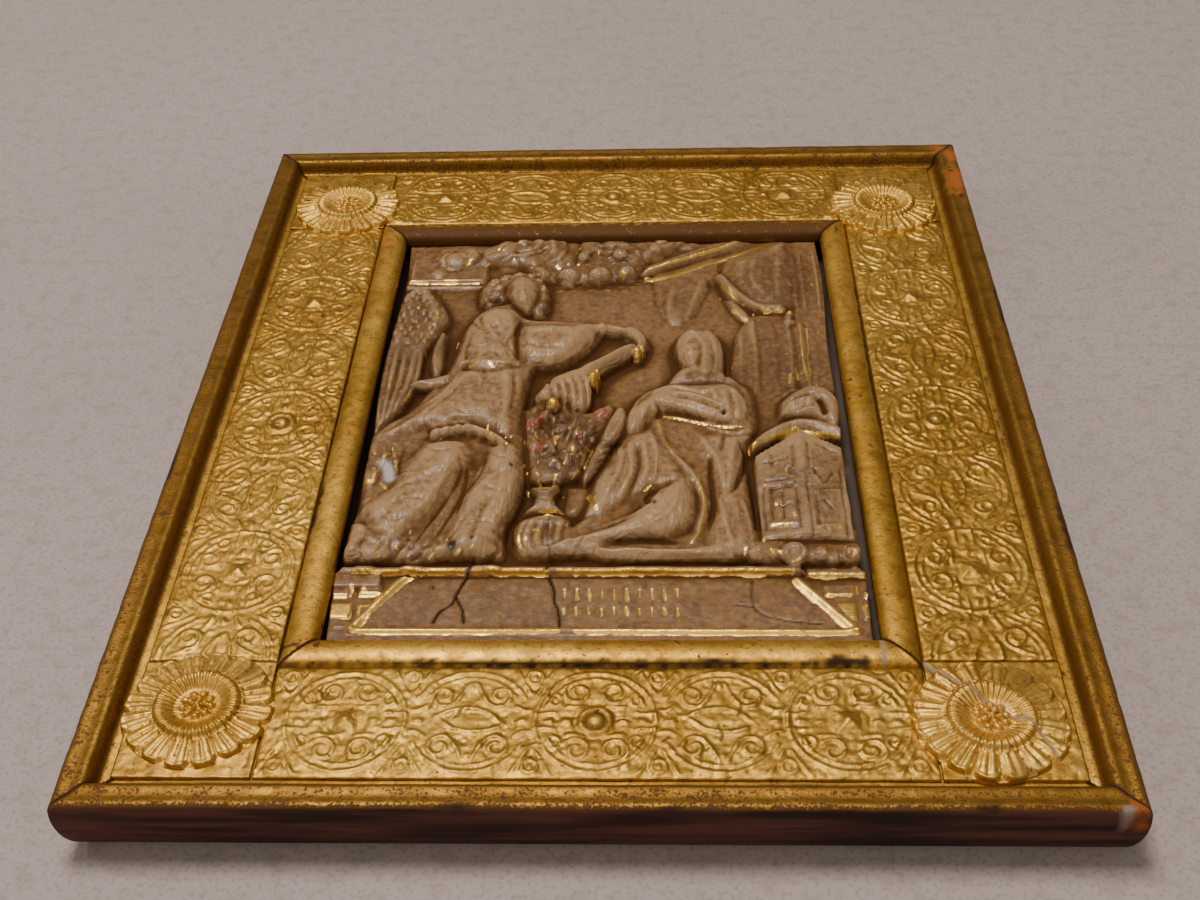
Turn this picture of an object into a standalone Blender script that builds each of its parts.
"""A carved alabaster relief of the Annunciation in a gilded wooden frame, lying on its back.

Metres, +Z out of the face, +Y towards the top of the picture. The origin is the centre of the
back, on which the plaque rests. The carving is drawn in millimetres on a plan of the slab,
because its forms are small, and is then stretched to the slab's real size.
"""

import math

import bmesh
import bpy
import numpy as np

MM = 0.001

# Frame
FRAME_WIDTH = 0.175
FRAME_HEIGHT = 0.202
FRAME_DEPTH = 0.0135
RIM_WIDTH = 0.0052
BED_WIDTH = 0.0258
SIGHT_MOULDING_WIDTH = 0.0061
BED_LEVEL = 0.0100
SIGHT_MOULDING_TOP = 0.0117
LEDGE_LEVEL = 0.0085
REBATE_WIDTH = 0.0019
SIDE_BULGE = 0.0005
SIDE_BULGE_DEPTH = 0.0040
BACK_INSET = 0.0030
SIDE_STEPS = 5
MOULDING_STEPS = 6

# Ornament strips
STRIP_WIDTH = 0.0232
STRIP_THICKNESS = 0.0005
MEDALLION_PITCH = 0.0213
MEDALLION_RADIUS = 0.0098
BAND_RADIUS = 0.0009
BAND_SQUASH = 0.45
BOSS_HEIGHT = 0.0015
PYRAMID_WIDTH = 0.0040
DOME_RADIUS = 0.0017
LEAF_LENGTH = 0.0125
LEAF_WIDTH = 0.0056
MEDALLION_SIDES = 14
END_PLATE_LENGTH = 0.0243
STILE_PATTERN_SHIFT = -0.0045

# Corner rosettes
ROSETTE_WIDTH = 0.0262
ROSETTE_HEIGHT = 0.0246
ROSETTE_PETALS = 16
ROSETTE_OVERHANG_GAP = 0.0013
ROSETTE_SKIRT = 0.0007
ROSETTE_CROWN = 0.0012
ROSETTE_NECK_SHARE = 0.9
PETAL_NOTCH_SHARE = 0.94
ROSETTE_OFFSETS = {
    "lower_left_rosette": (-0.0001, 0.0013),
    "lower_right_rosette": (-0.0023, -0.0007),
    "upper_left_rosette": (0.0014, -0.0024),
    "upper_right_rosette": (-0.0012, -0.0047),
}

# Slab and panel
PANEL_THICKNESS = 0.0030
FIT_GAP = 0.0003
SLAB_SIDE_GAP = 0.0003
SLAB_GROUND = 0.0040
SLAB_MARGIN_LEVEL = 0.0009
CARVING_GRID = 0.0011
CARVING_SHARE_KEPT = 0.21

# The slab's ground to the highest carving
RELIEF_HEIGHT = 0.0056

# The carving's plan, in millimetres, and its highest carving there
PLAN_WIDTH = 100.2
PLAN_HEIGHT = 131.0
PLAN_RELIEF = 5.6

# A level under every carving, for places that a form doesn't reach
BELOW_ALL = -9.0

BORDER = RIM_WIDTH + BED_WIDTH + SIGHT_MOULDING_WIDTH
SIGHT_HALF_WIDTH = FRAME_WIDTH / 2 - BORDER
SIGHT_HALF_HEIGHT = FRAME_HEIGHT / 2 - BORDER
REBATE_HALF_WIDTH = SIGHT_HALF_WIDTH + REBATE_WIDTH
REBATE_HALF_HEIGHT = SIGHT_HALF_HEIGHT + REBATE_WIDTH
STRIP_OUTER = RIM_WIDTH + BED_WIDTH - FIT_GAP - STRIP_WIDTH


def clear_scene():
    for obj in list(bpy.data.objects):
        bpy.data.objects.remove(obj)


def new_collection(name, hidden=False):
    collection = bpy.data.collections.new(name)
    collection.hide_render = hidden
    bpy.context.scene.collection.children.link(collection)
    return collection


def material(name, colour, roughness, metallic=0.0):
    made = bpy.data.materials.new(name)
    made.use_nodes = True
    shader = made.node_tree.nodes["Principled BSDF"]
    shader.inputs["Base Color"].default_value = (*colour, 1.0)
    shader.inputs["Roughness"].default_value = roughness
    shader.inputs["Metallic"].default_value = metallic
    return made


def object_from(bm, name, collection, finish):
    """Turns a bmesh into a named object with one material."""
    mesh = bpy.data.meshes.new(name)
    bm.to_mesh(mesh)
    bm.free()
    mesh.materials.append(finish)
    obj = bpy.data.objects.new(name, mesh)
    collection.objects.link(obj)
    return obj


def frame_profile():
    """The section of a frame member: how far in from the outer edge, and how high."""
    side_top = FRAME_DEPTH - SIDE_BULGE_DEPTH
    points = []
    for step in range(SIDE_STEPS + 1):
        angle = math.pi / 2 * step / SIDE_STEPS
        inset = BACK_INSET - (BACK_INSET + SIDE_BULGE) * math.sin(angle)
        points.append((inset, side_top * (1 - math.cos(angle))))
    arris = 0.1 * RIM_WIDTH
    points.append((0.0, FRAME_DEPTH - arris))
    points.append((arris, FRAME_DEPTH))
    points.append((RIM_WIDTH - 2 * arris, FRAME_DEPTH))
    points.append((RIM_WIDTH, FRAME_DEPTH - 2 * arris))
    points.append((RIM_WIDTH, BED_LEVEL))
    bed_end = RIM_WIDTH + BED_WIDTH
    points.append((bed_end, BED_LEVEL))
    rise = SIGHT_MOULDING_TOP - BED_LEVEL
    for step in range(1, MOULDING_STEPS):
        angle = math.pi * step / MOULDING_STEPS
        across = bed_end + SIGHT_MOULDING_WIDTH / 2 * (1 - math.cos(angle))
        points.append((across, BED_LEVEL + rise * math.sin(angle) ** 0.8))
    points.append((BORDER, BED_LEVEL - 0.3 * rise))
    points.append((BORDER, LEDGE_LEVEL))
    points.append((BORDER - REBATE_WIDTH, LEDGE_LEVEL))
    points.append((BORDER - REBATE_WIDTH, 0.0))
    return points


def frame_member(name, length, half_across, turn, collection, finish):
    """One mitred member, drawn along X at the lower edge and turned to its side."""
    bm = bmesh.new()
    profile = frame_profile()
    section = bm.faces.new([bm.verts.new((0.0, inset, level)) for inset, level in profile])
    grown = bmesh.ops.extrude_face_region(bm, geom=[section])
    far_end = {item for item in grown["geom"] if isinstance(item, bmesh.types.BMVert)}
    for vertex in bm.verts:
        reach = length / 2 - vertex.co.y - FIT_GAP / 2
        vertex.co.x = reach if vertex in far_end else -reach
        vertex.co.y -= half_across
    bmesh.ops.recalc_face_normals(bm, faces=bm.faces)
    obj = object_from(bm, name, collection, finish)
    obj.rotation_euler.z = turn
    return obj


def add_box(bm, low, high):
    made = bmesh.ops.create_cube(bm, size=1.0)
    for vertex in made["verts"]:
        for axis in range(3):
            share = vertex.co[axis] + 0.5
            vertex.co[axis] = low[axis] + share * (high[axis] - low[axis])


def join_all(base, pieces):
    """Unites the pieces with the base, so that they make one closed body."""
    for piece in pieces:
        joint = base.modifiers.new(piece.name, "BOOLEAN")
        joint.operation = "UNION"
        joint.solver = "EXACT"
        joint.object = piece


def helper_object(bm, name, helpers, turn):
    mesh = bpy.data.meshes.new(name)
    bm.to_mesh(mesh)
    bm.free()
    obj = bpy.data.objects.new(name, mesh)
    helpers.objects.link(obj)
    obj.rotation_euler.z = turn
    obj.hide_render = True
    obj.display_type = "WIRE"
    return obj


def medallion_band(name, centre, level, helpers, turn):
    """A low raised ring, a squashed torus sunk halfway into the strip."""
    bpy.ops.mesh.primitive_torus_add(
        major_segments=MEDALLION_SIDES,
        minor_segments=4,
        major_radius=MEDALLION_RADIUS,
        minor_radius=BAND_RADIUS,
    )
    ring = bpy.context.object
    ring.name = name
    for vertex in ring.data.vertices:
        vertex.co.x += centre[0]
        vertex.co.y += centre[1]
        vertex.co.z = vertex.co.z * BAND_SQUASH + level
    for owner in list(ring.users_collection):
        owner.objects.unlink(ring)
    helpers.objects.link(ring)
    ring.rotation_euler.z = turn
    ring.hide_render = True
    ring.display_type = "WIRE"
    return ring


def boss(name, kind, centre, level, helpers, turn):
    """The stud in a medallion: a pyramid, a dome or a pointed leaf."""
    bm = bmesh.new()
    sides = {"pyramid": 4, "dome": 8, "leaf": 6}[kind]
    wide = {"pyramid": PYRAMID_WIDTH / math.sqrt(2), "dome": DOME_RADIUS, "leaf": LEAF_LENGTH / 2}[kind]
    top = {"pyramid": 0.0, "dome": 0.6 * DOME_RADIUS, "leaf": 0.45 * LEAF_LENGTH}[kind]
    sunk = STRIP_THICKNESS / 2
    tall = sunk + (0.4 if kind == "leaf" else 1.0) * BOSS_HEIGHT
    bmesh.ops.create_cone(
        bm, cap_ends=True, segments=sides, radius1=wide, radius2=top, depth=tall
    )
    for vertex in bm.verts:
        if kind == "leaf":
            vertex.co.y *= LEAF_WIDTH / LEAF_LENGTH
        if kind == "pyramid":
            x, y = vertex.co.x, vertex.co.y
            vertex.co.x, vertex.co.y = (x - y) / math.sqrt(2), (x + y) / math.sqrt(2)
        vertex.co.x += centre[0]
        vertex.co.y += centre[1]
        vertex.co.z += level + tall / 2 - sunk
    return helper_object(bm, name, helpers, turn)


def ornament_strip(name, half_across, start, end, dome_at, turn, collection, helpers, finish):
    """A strip of medallions from start to end, with its domed medallion at dome_at."""
    outer = -half_across + STRIP_OUTER
    bottom = BED_LEVEL + FIT_GAP
    top = bottom + STRIP_THICKNESS
    bm = bmesh.new()
    add_box(bm, (start, outer, bottom), (end, outer + STRIP_WIDTH, top))
    strip = object_from(bm, name, collection, finish)
    strip.rotation_euler.z = turn
    middle = outer + STRIP_WIDTH / 2
    pieces = []
    first = math.ceil((start - dome_at) / MEDALLION_PITCH)
    last = math.floor((end - dome_at) / MEDALLION_PITCH)
    for number in range(first, last + 1):
        centre = (dome_at + number * MEDALLION_PITCH, middle)
        kind = "leaf" if number % 2 else ("dome" if number % 4 == 0 else "pyramid")
        room = min(centre[0] - start, end - centre[0])
        if room > MEDALLION_RADIUS + BAND_RADIUS:
            label = f"{name}_band_{number - first}"
            pieces.append(medallion_band(label, centre, top, helpers, turn))
        if room > LEAF_LENGTH / 2:
            label = f"{name}_boss_{number - first}"
            pieces.append(boss(label, kind, centre, top, helpers, turn))
    join_all(strip, pieces)
    return strip


def rosette_level(share, petal):
    """How high the rosette stands at a share of its radius. petal is 1 on a rib, 0 between."""
    skirt = ROSETTE_SKIRT * (0.35 + 0.65 * petal)
    crown = ROSETTE_SKIRT + ROSETTE_CROWN * (0.75 + 0.25 * petal)
    stops = ((1.0, 0.25 * skirt), (0.9, skirt), (0.7, 0.5 * skirt), (0.62, crown),
             (0.5, 0.95 * crown), (0.4, 0.45 * crown), (0.2, 0.5 * crown), (0.0, 0.95 * crown))
    shares = [stop[0] for stop in reversed(stops)]
    levels = [stop[1] for stop in reversed(stops)]
    return float(np.interp(share, shares, levels))


def corner_rosette(name, plate_low, plate_high, centre, collection, helpers, finish):
    """A corner plate with its two-tiered rosette, which overhangs the plate."""
    bottom = BED_LEVEL + FIT_GAP
    top = bottom + STRIP_THICKNESS
    under = top + ROSETTE_OVERHANG_GAP - ROSETTE_SKIRT / 2
    bm = bmesh.new()
    add_box(bm, (*plate_low, bottom), (*plate_high, top))
    plate = object_from(bm, name, collection, finish)
    pieces = []
    reach = min(centre[0] - plate_low[0], plate_high[0] - centre[0],
                centre[1] - plate_low[1], plate_high[1] - centre[1])
    bm = bmesh.new()
    neck_low = top - STRIP_THICKNESS / 2
    neck_high = under + ROSETTE_SKIRT / 8
    bmesh.ops.create_cone(
        bm, cap_ends=True, segments=ROSETTE_PETALS // 2,
        radius1=ROSETTE_NECK_SHARE * reach, radius2=ROSETTE_NECK_SHARE * reach, depth=neck_high - neck_low,
    )
    bmesh.ops.translate(bm, verts=bm.verts, vec=(*centre, (neck_low + neck_high) / 2))
    pieces.append(helper_object(bm, f"{name}_neck", helpers, 0.0))
    pieces.append(flower(f"{name}_flower", centre, under, helpers))
    join_all(plate, pieces)
    return plate


def flower(name, centre, under, helpers):
    """The rosette itself: a disc whose rings of points rise and fall with its petals."""
    bm = bmesh.new()
    shares = (1.0, 0.9, 0.7, 0.62, 0.42, 0.22)
    points_round = 2 * ROSETTE_PETALS
    rings = []
    for share in shares:
        ring = []
        for step in range(points_round):
            angle = 2 * math.pi * step / points_round
            petal = 1 - step % 2
            reach = share * (1.0 if petal or share < shares[1] else PETAL_NOTCH_SHARE)
            ring.append(bm.verts.new((
                centre[0] + reach * ROSETTE_WIDTH / 2 * math.cos(angle),
                centre[1] + reach * ROSETTE_HEIGHT / 2 * math.sin(angle),
                under + rosette_level(share, petal),
            )))
        rings.append(ring)
    for outer, inner in zip(rings, rings[1:]):
        for step in range(points_round):
            after = (step + 1) % points_round
            bm.faces.new((outer[step], outer[after], inner[after], inner[step]))
    tip = bm.verts.new((*centre, under + rosette_level(0.0, 1)))
    for step in range(points_round):
        after = (step + 1) % points_round
        bm.faces.new((rings[-1][step], rings[-1][after], tip))
    skirt = [edge for edge in bm.edges if edge.is_boundary]
    dropped = bmesh.ops.extrude_edge_only(bm, edges=skirt)["geom"]
    low = [item for item in dropped if isinstance(item, bmesh.types.BMVert)]
    for vertex in low:
        vertex.co.z = under
    bmesh.ops.contextual_create(bm, geom=[edge for edge in bm.edges if edge.is_boundary])
    bmesh.ops.recalc_face_normals(bm, faces=bm.faces)
    return helper_object(bm, name, helpers, 0.0)


def smooth_max(first, second, width):
    """The higher of two surfaces, with the crease between them rounded over width."""
    overlap = np.maximum(width - np.abs(first - second), 0.0) / width
    return np.maximum(first, second) + overlap * overlap * width / 4


def curve_through(stations, steps):
    """More stations on a smooth Catmull-Rom curve through those given."""
    stations = np.array(stations, float)
    if len(stations) < 3:
        return stations
    padded = np.vstack((2 * stations[0] - stations[1], stations, 2 * stations[-1] - stations[-2]))
    found = []
    for before, here, there, after in zip(padded, padded[1:], padded[2:], padded[3:]):
        for step in range(steps):
            t = step / steps
            found.append(0.5 * (2 * here + (there - before) * t
                                + (2 * before - 5 * here + 4 * there - after) * t * t
                                + (3 * here - before - 3 * there + after) * t ** 3))
    found.append(stations[-1])
    return np.array(found)


class Carving:
    """A field of heights above the slab's ground, over a plan, all in millimetres."""

    def __init__(self, x, y, curve_steps):
        self.x = x
        self.y = y
        self.height = np.zeros_like(x)
        self.curve_steps = curve_steps

    def near(self, points, margin):
        """The part of the plan that lies round some points."""
        low = points[:, :2].min(axis=0) - margin
        high = points[:, :2].max(axis=0) + margin
        return ((self.x > low[0]) & (self.x < high[0])
                & (self.y > low[1]) & (self.y < high[1]))

    def along(self, x, y, start, end):
        """How far along a straight stretch each point is, from 0 to 1, and its distance."""
        run = end[:2] - start[:2]
        length = max(float(run @ run), 1e-9)
        share = np.clip(((x - start[0]) * run[0] + (y - start[1]) * run[1]) / length, 0.0, 1.0)
        away = np.hypot(x - start[0] - share * run[0], y - start[1] - share * run[1])
        return share, away

    def form(self, *stations, blend=0.5):
        """A rounded form along a curve. Each station is x, y, radius and height."""
        points = curve_through(stations, self.curve_steps)
        where = self.near(points, points[:, 2].max())
        x, y = self.x[where], self.y[where]
        raised = np.full_like(x, BELOW_ALL)
        if len(points) == 1:
            points = np.vstack((points, points))
        for start, end in zip(points, points[1:]):
            share, away = self.along(x, y, start, end)
            radius = start[2] + share * (end[2] - start[2])
            crest = start[3] + share * (end[3] - start[3])
            inside = 1 - (away / radius) ** 2
            dome = np.where(inside > 0, crest * np.sqrt(np.maximum(inside, 0.0)), BELOW_ALL)
            raised = np.maximum(raised, dome)
        self.height[where] = smooth_max(self.height[where], raised, blend)

    def mass(self, outline, height, bevel, blend=1.0):
        """A raised body inside a closed outline, rounded off over bevel at its edge."""
        points = curve_through([*outline, outline[0]], self.curve_steps)
        where = self.near(points, 0.0)
        x, y = self.x[where], self.y[where]
        inside = np.zeros(x.shape, bool)
        nearest = np.full_like(x, 1e9)
        for start, end in zip(points, points[1:]):
            nearest = np.minimum(nearest, self.along(x, y, start, end)[1])
            rise = end[1] - start[1]
            if rise:
                crossing = start[0] + (end[0] - start[0]) * (y - start[1]) / rise
                inside ^= ((start[1] > y) != (end[1] > y)) & (x < crossing)
        share = np.clip(nearest / bevel, 0.0, 1.0)
        raised = np.where(inside, height * np.sqrt(1 - (1 - share) ** 2), BELOW_ALL)
        self.height[where] = smooth_max(self.height[where], raised, blend)

    def ridge(self, *points, height, width):
        """Adds a soft ridge along a curve, or cuts a groove where height is negative."""
        points = curve_through(points, self.curve_steps)
        where = self.near(points, 2.5 * width)
        x, y = self.x[where], self.y[where]
        nearest = np.full_like(x, 1e9)
        place = np.zeros_like(x)
        stretches = len(points) - 1
        for number in range(stretches):
            share, away = self.along(x, y, points[number], points[number + 1])
            closer = away < nearest
            nearest = np.where(closer, away, nearest)
            place = np.where(closer, (number + share) / stretches, place)
        taper = np.minimum(1.0, 5 * np.minimum(place, 1 - place) + 0.25)
        self.height[where] += height * taper * np.exp(-((nearest / width) ** 2))

    def folds(self, first, last, count, height, width):
        """Ridges that fan from one curve to another, as folds do in hanging cloth."""
        first = np.array(first, float)
        last = np.array(last, float)
        for number in range(count):
            share = number / (count - 1)
            points = first + share * (last - first)
            self.ridge(*points, height=height, width=width)

    def block(self, corners, level, edge=0.4):
        """A flat-topped block on a convex outline that runs anticlockwise."""
        depth = np.full_like(self.x, 1e9)
        for (ax, ay), (bx, by) in zip(corners, corners[1:] + corners[:1]):
            length = math.hypot(bx - ax, by - ay)
            depth = np.minimum(depth, ((bx - ax) * (self.y - ay) - (by - ay) * (self.x - ax)) / length)
        top = level(self.x, self.y) if callable(level) else level
        rise = np.clip(depth / edge, 0.0, 1.0)
        self.height = np.where(depth > 0, np.maximum(self.height, top * rise), self.height)


def carve_architecture(carving):
    """The cornice, the canopy with its curtains, and the tablet with its sloping ends."""
    carving.block([(-49, 48), (-30, 48), (-30, 61), (-49, 61)], 1.5)
    carving.block([(-49, 46), (-29, 46), (-29, 48.2), (-49, 48.2)], 2.2)
    carving.block([(-52, 50), (52, 50), (52, 70), (-52, 70)], lambda x, y: 0.07 * (y - 50), edge=2.0)
    carving.block([(8, 50), (8, 46), (40, 61), (38, 66)], 2.4)
    carving.form((8.6, 50.2, 0.9, 3.2), (24, 58, 0.9, 3.4), (37, 65.4, 0.9, 3.2))
    carving.form((8.6, 45.4, 0.9, 3.2), (24, 53, 0.9, 3.4), (39, 60.8, 0.9, 3.2))
    carving.form((12.5, 44, 3.5, 2.8), (15, 37, 6.0, 3.4), (14, 31, 4.6, 2.8))
    carving.folds([(11, 44), (11, 30)], [(20, 46), (19.5, 33)], 4, 0.5, 0.8)
    carving.form((37, 58, 4.0, 3.2), (36.5, 49, 5.5, 4.2), (36.5, 39, 4.4, 4.2), (37, 34.5, 3.0, 3.6))
    carving.folds([(36, 59), (29, 45), (30, 38)], [(39, 59), (41, 47), (39.5, 35)], 5, 0.5, 0.7)
    carving.form((26.5, 46, 1.1, 2.8), (30, 38, 1.2, 3.4), (34.5, 33.6, 1.2, 4.0), (39.5, 34, 1.0, 4.0))
    carving.form((28.5, 36, 0.9, 2.2), (31, 32.5, 0.9, 2.6))
    carving.form((40.7, 33.4, 1.0, 4.4), (40.7, 31.2, 1.3, 4.6))
    for number in range(4):
        across = 42.0 + 2.1 * number
        carving.form((across, 59 - number, 1.3, 2.4), (across + 0.4, 30, 1.3, 2.6), (across, 4, 1.2, 2.2))
    carving.block([(-52, -67), (52, -67), (52, -46.4), (-52, -46.4)], 0.9)
    carving.block([(-50, -47.6), (38, -47.6), (38, -45.0), (-50, -45.0)], 2.4)
    carving.block([(38, -48.9), (50, -48.9), (50, -46.0), (38, -46.0)], 2.1)
    carving.form((-35.2, -47, 1.0, 1.5), (-44.6, -60, 1.1, 1.5))
    carving.form((37.4, -47.5, 1.0, 1.5), (46.4, -60.4, 1.1, 1.5))
    carving.form((-44.8, -60.2, 0.9, 1.4), (46.4, -60.4, 0.9, 1.4))


def carve_clouds(carving):
    """Clouds with small heads in them, along the top."""
    clouds = ((-27, 55, 4.0, 2.4), (-21, 58, 5.5, 3.0), (-13, 61, 3.4, 3.0), (-13, 54, 3.0, 2.2),
              (-9.5, 50, 3.4, 2.9), (-3, 49, 3.4, 3.0), (-2, 56, 3.6, 2.6), (3.5, 51, 3.4, 2.6),
              (4, 59, 3.4, 2.6), (11, 59, 2.6, 2.4), (17, 60, 2.4, 2.2), (-36, 58, 3.0, 2.4))
    for x, y, radius, height in clouds:
        carving.form((x, y, radius, height), blend=1.2)
    carving.form((-26, 48, 2.0, 1.8), (-18, 50, 2.4, 2.2), (-15, 44, 1.8, 1.8), blend=1.0)


def carve_wings(carving):
    """The angel's wings, one long wing down the left side and the edge of the other."""
    carving.form((-44.5, 42.5, 3.4, 2.4), (-43, 34, 6.2, 3.0), (-43, 20, 6.2, 2.9),
                 (-44.5, 5, 5.0, 2.4), (-46.5, -6, 3.0, 2.0))
    carving.form((-37, 32, 1.6, 2.0), (-38, 22, 2.6, 2.2), (-37.4, 12, 2.4, 2.2))
    for row in range(7):
        for column in range(5):
            x = -47.5 + 2.4 * column + 1.2 * (row % 2)
            y = 42 - 3.4 * row
            if x < -38 - 0.3 * abs(row - 2):
                carving.ridge((x - 1.0, y + 0.6), (x, y - 0.9), (x + 1.0, y + 0.6), height=0.35, width=0.45)
    carving.folds([(-48, 18), (-48, 2), (-47.5, -6)], [(-40, 18), (-41.5, 6), (-45, -6)], 5, 0.45, 0.6)


ANGEL_OUTLINE = (
    (-27, 36), (-31, 32), (-33, 26), (-34, 19), (-35, 13), (-38, 7), (-42, -1), (-46, -6), (-48, -12),
    (-48.4, -21), (-47.6, -29), (-48.4, -36), (-47.4, -42), (-38, -43.5), (-30, -43.5), (-24, -43.5),
    (-19.5, -42), (-19, -35), (-17, -26), (-15.8, -18), (-16.5, -10), (-17.8, -3), (-18, 7),
    (-18.5, 16), (-19, 24), (-19.5, 30), (-22, 36),
)
ANGEL_CURLS = (
    (-27.4, 41, 2.0), (-26.6, 45, 2.2), (-23.4, 48, 2.2), (-19.6, 49, 2.1), (-16.4, 46.6, 1.9),
    (-24.6, 41, 1.8), (-23.8, 44.4, 1.9), (-20.4, 46.0, 1.8), (-28, 37.4, 1.5), (-15.2, 42.6, 1.5),
)
VIRGIN_OUTLINE = (
    (12, 7), (17, 10), (21, 11), (26, 9), (30, 5), (31, -1), (30.5, -7), (29, -12), (28.4, -18),
    (29, -25), (29.8, -33), (29.6, -42), (20, -43.5), (8, -43.5), (-3, -43), (-12, -43),
    (-13.4, -40), (-9, -36), (-3.4, -32), (-1, -26), (0, -20), (1.6, -13), (4, -7), (5, -1), (8, 5),
)


def carve_angel(carving):
    """The angel, who strides to the right with both arms stretched out."""
    carving.mass(ANGEL_OUTLINE, 3.0, 3.2)
    carving.form((-24, 29, 6.0, 4.2), (-26, 20, 7.6, 4.6), (-27.5, 9, 8.4, 4.8), (-28.5, -4, 9.0, 4.6))
    carving.form((-27, 35, 2.0, 3.0), (-21.5, 37, 2.4, 3.4))
    carving.form((-33, 8, 4.2, 3.8), (-39, -2, 4.6, 3.8), (-45, -9, 4.0, 3.2))
    carving.form((-37.5, 8.5, 1.8, 3.2), (-33.5, 9.5, 1.6, 3.6))
    carving.form((-33, -13, 7.0, 5.0), (-34, -20, 7.8, 5.3), (-38, -30, 7.8, 4.5), (-42, -37, 6.0, 3.4))
    carving.form((-27, -18, 5.0, 3.8), (-30, -30, 6.0, 3.6), (-33, -41, 6.0, 3.0))
    carving.form((-20.5, -15, 4.4, 4.4), (-20.5, -25, 4.8, 4.8), (-22.5, -35, 5.4, 4.2),
                 (-24.5, -43, 4.0, 3.2))
    carving.form((-46, -11, 3.6, 3.2), (-47.2, -20, 2.8, 2.8), (-47, -30, 3.0, 2.6))
    carving.form((-48, -32, 2.0, 2.8), (-45, -38, 3.4, 3.4), (-40, -43, 3.0, 2.8))
    carving.form((-47.5, -41, 2.6, 3.4), (-46, -45, 3.4, 2.8))
    carving.form((-42, -44.5, 2.0, 2.6), (-30, -44.5, 2.0, 2.6), (-21, -44.5, 2.0, 2.8))
    carving.form((-23.5, -41.8, 2.4, 4.4))
    carving.form((-30, -41.6, 1.6, 3.8))
    carving.form((-37, -10, 1.4, 4.6), (-32, -8.6, 1.6, 5.2), (-27, -9, 1.6, 5.2), (-21, -12.6, 1.6, 4.8))
    carving.folds([(-30, 26), (-33, 8), (-34, -6)], [(-20, 24), (-20.5, 8), (-22, -8)], 5, 0.45, 0.9)
    carving.folds([(-34, -11), (-41, -24), (-47, -35)], [(-27, -12), (-30, -28), (-38, -42)], 5, 0.5, 0.9)
    carving.folds([(-26, -14), (-28, -28), (-32, -42)], [(-17.5, -16), (-18.5, -28), (-22, -38)],
                  4, 0.5, 0.8)
    carving.form((-18, 22, 4.4, 4.2), (-12, 22, 5.2, 4.4), (-5, 24.5, 4.0, 3.8), (3, 26, 2.8, 3.4),
                 (5.4, 25.4, 1.4, 3.0))
    carving.form((-15, 13, 4.0, 2.6), (-9, 14.5, 4.4, 2.6))
    carving.form((-15.5, 3, 2.2, 3.8), (-10.5, 8, 3.0, 4.8), (-4, 13, 2.8, 4.8), (1.5, 17.2, 2.2, 4.4),
                 (6, 20.2, 1.4, 4.2))
    carving.form((-9.5, 4, 4.0, 4.2), (-6.5, -1, 3.6, 3.6))
    carving.folds([(-13, 7), (-11.5, 1), (-11, -3)], [(-5.5, 9), (-3.6, 2), (-4, -4)], 4, 0.4, 0.6)
    carving.form((-11.2, 0.6, 1.7, 5.6))
    carving.form((-3.0, 9.4, 1.5, 5.4), (-3.2, 11.6, 1.0, 5.0))
    carving.form((6.6, 17.6, 1.2, 4.8), (7.0, 20.0, 1.0, 4.6))
    carving.form((-19.6, 36.4, 2.3, 4.1), (-20.4, 39.2, 3.0, 4.5), (-20.8, 41.0, 2.8, 4.4))
    for x, y, radius in ANGEL_CURLS:
        carving.form((x, y, radius, 4.1))


def carve_vase(carving):
    """The vase, and the stems, leaves and blooms that stand in it."""
    carving.form((-11.5, -38, 6.8, 3.8), (-10.5, -39, 6.8, 3.8))
    carving.form((-11.5, -30, 3.0, 3.4), (-11.5, -32, 3.6, 3.4))
    carving.form((-15.4, -27.2, 1.0, 4.0), (-8.2, -27.2, 1.0, 4.0))
    carving.form((-3.2, -27.4, 0.8, 3.6), (-1.6, -31.4, 0.8, 3.6))
    carving.form((-9, -26, 3.0, 2.4), (-4, -27, 2.4, 2.4))
    for number in range(7):
        lean = -6.5 + 2.6 * number
        carving.form((-11 + 0.25 * lean, -26, 1.0, 3.2), (-10.5 + lean, -15, 1.7, 3.4),
                     (-9.5 + 1.1 * lean, -6 + 0.5 * abs(lean), 1.1, 3.0))
    blooms = ((-15.4, -5), (-12.5, -3), (-14.6, -12.6), (-9.6, -9), (-6, -8.6), (-1.5, -2.4), (-11, -17))
    for x, y in blooms:
        carving.form((x, y, 1.7, 3.8))


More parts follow.
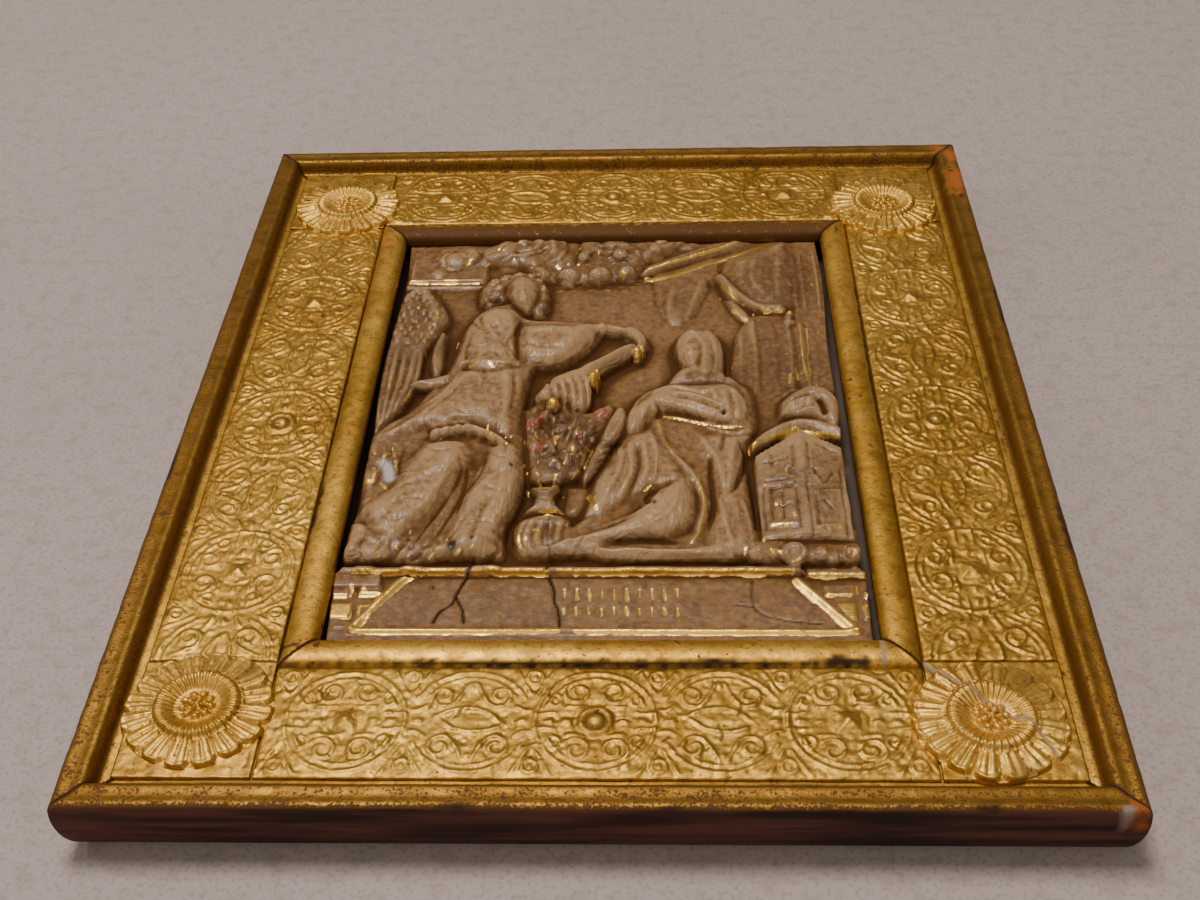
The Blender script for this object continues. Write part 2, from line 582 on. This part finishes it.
def carve_virgin(carving):
    """The kneeling figure, who turns to the left with hands together."""
    carving.mass(VIRGIN_OUTLINE, 2.9, 2.6)
    carving.form((24, -10, 6.0, 3.6), (24.5, -20, 5.6, 3.4), (25.5, -32, 5.0, 3.4), (27, -42, 4.6, 3.0))
    carving.form((8, -10, 5.0, 3.6), (8, -20, 7.0, 3.8), (5, -30, 7.0, 3.8))
    carving.form((13.5, -20, 5.0, 4.6), (14, -28, 5.8, 5.4), (9, -33, 5.0, 5.4),
                 (2, -36.5, 4.0, 4.8), (-5, -38.5, 3.0, 4.0), (-12, -39.5, 2.6, 3.6))
    carving.form((11, -4, 1.2, 4.4), (13.2, -12, 1.3, 4.4), (17, -19.5, 1.3, 4.6), (19.2, -26, 1.3, 4.6),
                 (19.6, -31.5, 1.2, 4.4), (17.2, -40, 1.1, 4.0))
    carving.form((-11, -42, 2.4, 3.4), (-6, -41.5, 2.6, 3.8), (0, -41, 2.0, 3.8))
    carving.form((2, -43, 2.2, 3.6), (10, -43.6, 2.2, 3.8), (18, -43.2, 2.2, 3.8), (23, -43.0, 1.8, 3.8))
    carving.form((13, 2.5, 4.0, 4.2), (19, 1, 5.2, 4.8), (25.5, -1, 5.8, 5.0))
    carving.form((12.5, -1, 3.0, 4.2), (20, -4.6, 2.6, 4.6), (28, -6, 2.2, 4.8))
    carving.form((10, 2, 3.0, 4.6), (6.5, -4, 3.2, 4.8), (6, -9, 3.0, 4.4))
    carving.form((3.6, -1.5, 0.9, 4.2), (2.2, -6, 1.7, 4.8), (0.6, -12, 1.6, 4.4))
    carving.form((1, -12, 2.0, 3.8), (-1.5, -17, 1.8, 3.4), (-3, -22, 1.4, 3.0))
    carving.form((24, 24, 1.8, 3.8), (25, 16, 2.2, 3.6), (25, 7, 2.4, 3.8))
    carving.form((21, 7, 3.0, 4.4), (21, 14, 3.2, 4.2))
    carving.form((19.5, 17, 4.2, 4.8), (19.5, 20, 4.6, 5.0))
    carving.form((17, 21, 2.2, 4.8), (19.5, 23.4, 2.0, 4.8), (22, 22.5, 2.0, 4.8))
    carving.folds([(13, 4), (20, 2), (24, -4)], [(20, 5), (27, 3), (29.5, -4)], 4, 0.4, 0.8)
    carving.folds([(17, -10), (21.5, -20), (23, -36)], [(28, -12), (28, -24), (29, -38)], 4, 0.45, 1.0)
    carving.folds([(4, -14), (4, -22), (0, -32)], [(11, -12), (11, -20), (8, -28)], 3, 0.4, 0.9)


def carve_lectern(carving):
    """The lectern, set cornerwise, with a cushion on it and scrolled feet."""
    corner, left, right = 39.6, 30.2, 47.8

    def front(x, y):
        return np.where(x < corner, 3.4 + 1.6 * (x - left) / (corner - left),
                        3.4 + 1.6 * (right - x) / (right - corner))

    lap = 0.4
    carving.block([(left, -39), (corner + lap, -39), (corner + lap, -8.6), (left, -15.2)], front)
    carving.block([(corner - lap, -39), (right, -39), (right, -12.6), (corner - lap, -8.6)], front)
    for x0, x1 in ((32.0, 38.0), (41.4, 46.4)):
        carving.ridge((x0, -25), (x1, -24.6), height=0.4, width=0.5)
        carving.ridge((x0, -36), (x1, -36), height=0.4, width=0.5)
        carving.ridge((x0, -25), (x0, -36), height=0.4, width=0.5)
        carving.ridge((x1, -24.6), (x1, -36), height=0.4, width=0.5)
    carving.form((29.6, -15.4, 1.2, 4.4), (corner, -8.6, 1.2, 5.4))
    carving.form((corner, -8.6, 1.2, 5.4), (50, -13.2, 1.2, 4.0))
    carving.form((31, -12, 2.2, 3.6), (38, -6.4, 2.2, 4.4), (44, -6.6, 2.4, 4.2), (48.5, -10, 1.6, 3.6))
    carving.form((37.5, -1.5, 3.6, 4.0), (43, 1.5, 3.8, 4.2), (45.5, 3.4, 2.6, 4.2))
    carving.form((46.5, 2, 2.0, 4.4), (48.2, -3, 1.8, 4.2))
    carving.ridge((44.4, 1.6), (45.6, -2.0), height=-1.6, width=0.9)
    carving.form((28.2, -44, 1.2, 3.2), (29.5, -41, 1.2, 3.4), (33, -40.6, 1.2, 3.6))
    carving.form((36.8, -42.4, 3.2, 4.4))
    carving.form((47.6, -43.0, 2.4, 4.0))
    carving.form((41, -41, 1.4, 3.6), (43.2, -44.4, 1.2, 3.4))
    carving.ridge((34.6, -40.6), (36.4, -44.6), (39.4, -43.4), (37.6, -41.4), height=0.5, width=0.5)


def slab_edge(y):
    """Where the slab's long sides lie, as shares of its half width: they are a little uneven."""
    left = -0.978 - 0.010 * np.sin(y / 9.0) - 0.018 * (y < -46)
    right = 0.965 + 0.006 * np.sin(y / 7.0 + 1.0) + 0.02 * (y < -46)
    return left, right


def carved_heights(x, y, curve_steps):
    carving = Carving(x, y, curve_steps)
    carve_architecture(carving)
    carve_clouds(carving)
    carve_wings(carving)
    carve_vase(carving)
    carve_virgin(carving)
    carve_lectern(carving)
    carve_angel(carving)
    return carving.height


def alabaster_relief(collection, finish):
    """The slab: a flat grid raised to the carving, with walls and a flat back."""
    width = 2 * (SIGHT_HALF_WIDTH - SLAB_SIDE_GAP)
    height = 2 * (REBATE_HALF_HEIGHT - FIT_GAP)
    columns = round(width / CARVING_GRID)
    rows = round(height / CARVING_GRID)
    back = PANEL_THICKNESS + FIT_GAP
    bm = bmesh.new()
    bmesh.ops.create_grid(bm, x_segments=columns, y_segments=rows, size=1.0)
    points = np.array([vertex.co[:2] for vertex in bm.verts])
    plan_y = points[:, 1] * PLAN_HEIGHT / 2
    left, right = slab_edge(plan_y)
    share = left + (right - left) * (points[:, 0] + 1) / 2
    heights = carved_heights(share * PLAN_WIDTH / 2, plan_y, curve_steps=3)
    under_ledge = (np.abs(points[:, 1]) * height / 2 > SIGHT_HALF_HEIGHT - CARVING_GRID)
    raised = heights * RELIEF_HEIGHT / PLAN_RELIEF
    levels = np.where(under_ledge, np.minimum(raised, SLAB_MARGIN_LEVEL), raised)
    rim = [edge for edge in bm.edges if edge.is_boundary]
    for vertex, across, up, level in zip(bm.verts, share, points[:, 1], levels):
        vertex.co = (across * width / 2, up * height / 2, back + SLAB_GROUND + level)
    dropped = bmesh.ops.extrude_edge_only(bm, edges=rim)["geom"]
    for item in dropped:
        if isinstance(item, bmesh.types.BMVert):
            item.co.z = back
    bmesh.ops.contextual_create(bm, geom=[edge for edge in bm.edges if edge.is_boundary])
    bmesh.ops.recalc_face_normals(bm, faces=bm.faces)
    bmesh.ops.triangulate(bm, faces=bm.faces)
    obj = object_from(bm, "alabaster_relief", collection, finish)
    thin = obj.modifiers.new("fewer_faces", "DECIMATE")
    thin.ratio = CARVING_SHARE_KEPT
    return obj


def back_panel(collection, finish):
    bm = bmesh.new()
    half_x = REBATE_HALF_WIDTH - FIT_GAP
    half_y = REBATE_HALF_HEIGHT - FIT_GAP
    add_box(bm, (-half_x, -half_y, 0.0), (half_x, half_y, PANEL_THICKNESS))
    return object_from(bm, "back_panel", collection, finish)


def build_frame(collection, finish):
    half_width, half_height = FRAME_WIDTH / 2, FRAME_HEIGHT / 2
    members = (
        ("bottom_rail", FRAME_WIDTH, half_height, 0.0),
        ("right_stile", FRAME_HEIGHT, half_width, math.pi / 2),
        ("top_rail", FRAME_WIDTH, half_height, math.pi),
        ("left_stile", FRAME_HEIGHT, half_width, -math.pi / 2),
    )
    for name, length, half_across, turn in members:
        frame_member(name, length, half_across, turn, collection, finish)


def build_ornament(collection, helpers, finish):
    """The four strips, and the corner plates between their ends."""
    half_width, half_height = FRAME_WIDTH / 2, FRAME_HEIGHT / 2
    rail_end = half_width - STRIP_OUTER - STRIP_WIDTH - FIT_GAP / 2
    stile_end = half_height - STRIP_OUTER - END_PLATE_LENGTH - FIT_GAP / 2
    shift = STILE_PATTERN_SHIFT
    strips = (
        ("bottom_ornament_strip", half_height, rail_end, 0.0, 0.0),
        ("right_ornament_strip", half_width, stile_end, shift, math.pi / 2),
        ("top_ornament_strip", half_height, rail_end, 0.0, math.pi),
        ("left_ornament_strip", half_width, stile_end, -shift, -math.pi / 2),
    )
    for name, half_across, end, dome_at, turn in strips:
        clear = end - FIT_GAP
        ornament_strip(name, half_across, -clear, clear, dome_at, turn, collection, helpers, finish)
    outer_x, inner_x = half_width - STRIP_OUTER, rail_end + FIT_GAP / 2
    outer_y, inner_y = half_height - STRIP_OUTER, stile_end + FIT_GAP / 2
    for name, (shift_x, shift_y) in ROSETTE_OFFSETS.items():
        side_x = -1 if "left" in name else 1
        side_y = -1 if "lower" in name else 1
        xs = sorted((side_x * outer_x, side_x * inner_x))
        ys = sorted((side_y * outer_y, side_y * inner_y))
        centre = (sum(xs) / 2 + shift_x, sum(ys) / 2 + shift_y)
        corner_rosette(name, (xs[0], ys[0]), (xs[1], ys[1]), centre, collection, helpers, finish)


def main():
    clear_scene()
    parts = new_collection("relief_plaque")
    helpers = new_collection("shaping_helpers", hidden=True)
    alabaster = material("alabaster", (0.55, 0.38, 0.26), 0.38)
    gilded_wood = material("gilded_wood", (0.72, 0.48, 0.14), 0.35, 0.85)
    gilded_paste = material("gilded_paste", (0.78, 0.54, 0.17), 0.32, 0.85)
    dark_wood = material("dark_wood", (0.05, 0.03, 0.02), 0.7)
    build_frame(parts, gilded_wood)
    build_ornament(parts, helpers, gilded_paste)
    alabaster_relief(parts, alabaster)
    back_panel(parts, dark_wood)


main()
